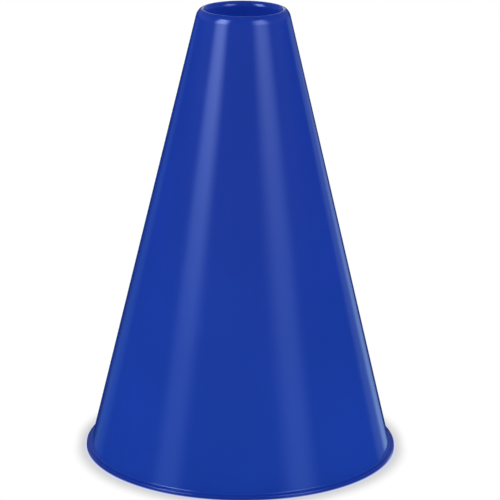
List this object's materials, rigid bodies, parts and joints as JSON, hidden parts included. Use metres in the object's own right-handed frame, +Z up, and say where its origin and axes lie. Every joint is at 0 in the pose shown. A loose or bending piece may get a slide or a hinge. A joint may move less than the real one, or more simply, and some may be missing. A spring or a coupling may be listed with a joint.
{
  "type": "cheer megaphone",
  "caption": "Small tapered hand megaphone in glossy plastic that stands on its wide bell, with a thick rounded lip at the mouth and a rim round the bell.",
  "frame": {"origin": "on the horn's axis, in the plane that the bell rests on", "axes": "+Z up the horn's axis, from the wide bell to the mouth; the shape is the same all round that axis"},
  "size_m": [0.1414, 0.1414, 0.203],
  "materials": {
    "horn_plastic": "moulded royal blue plastic with a soft gloss",
    "lip_plastic": "moulded royal blue plastic, polished where the lips rest",
    "rim_plastic": "moulded royal blue plastic with a soft gloss, a shade deeper than the horn"
  },
  "bodies": {
    "root": {"horn": "horn_plastic", "mouthpiece": "lip_plastic", "bell_rim": "rim_plastic"}
  },
  "joints": []
}
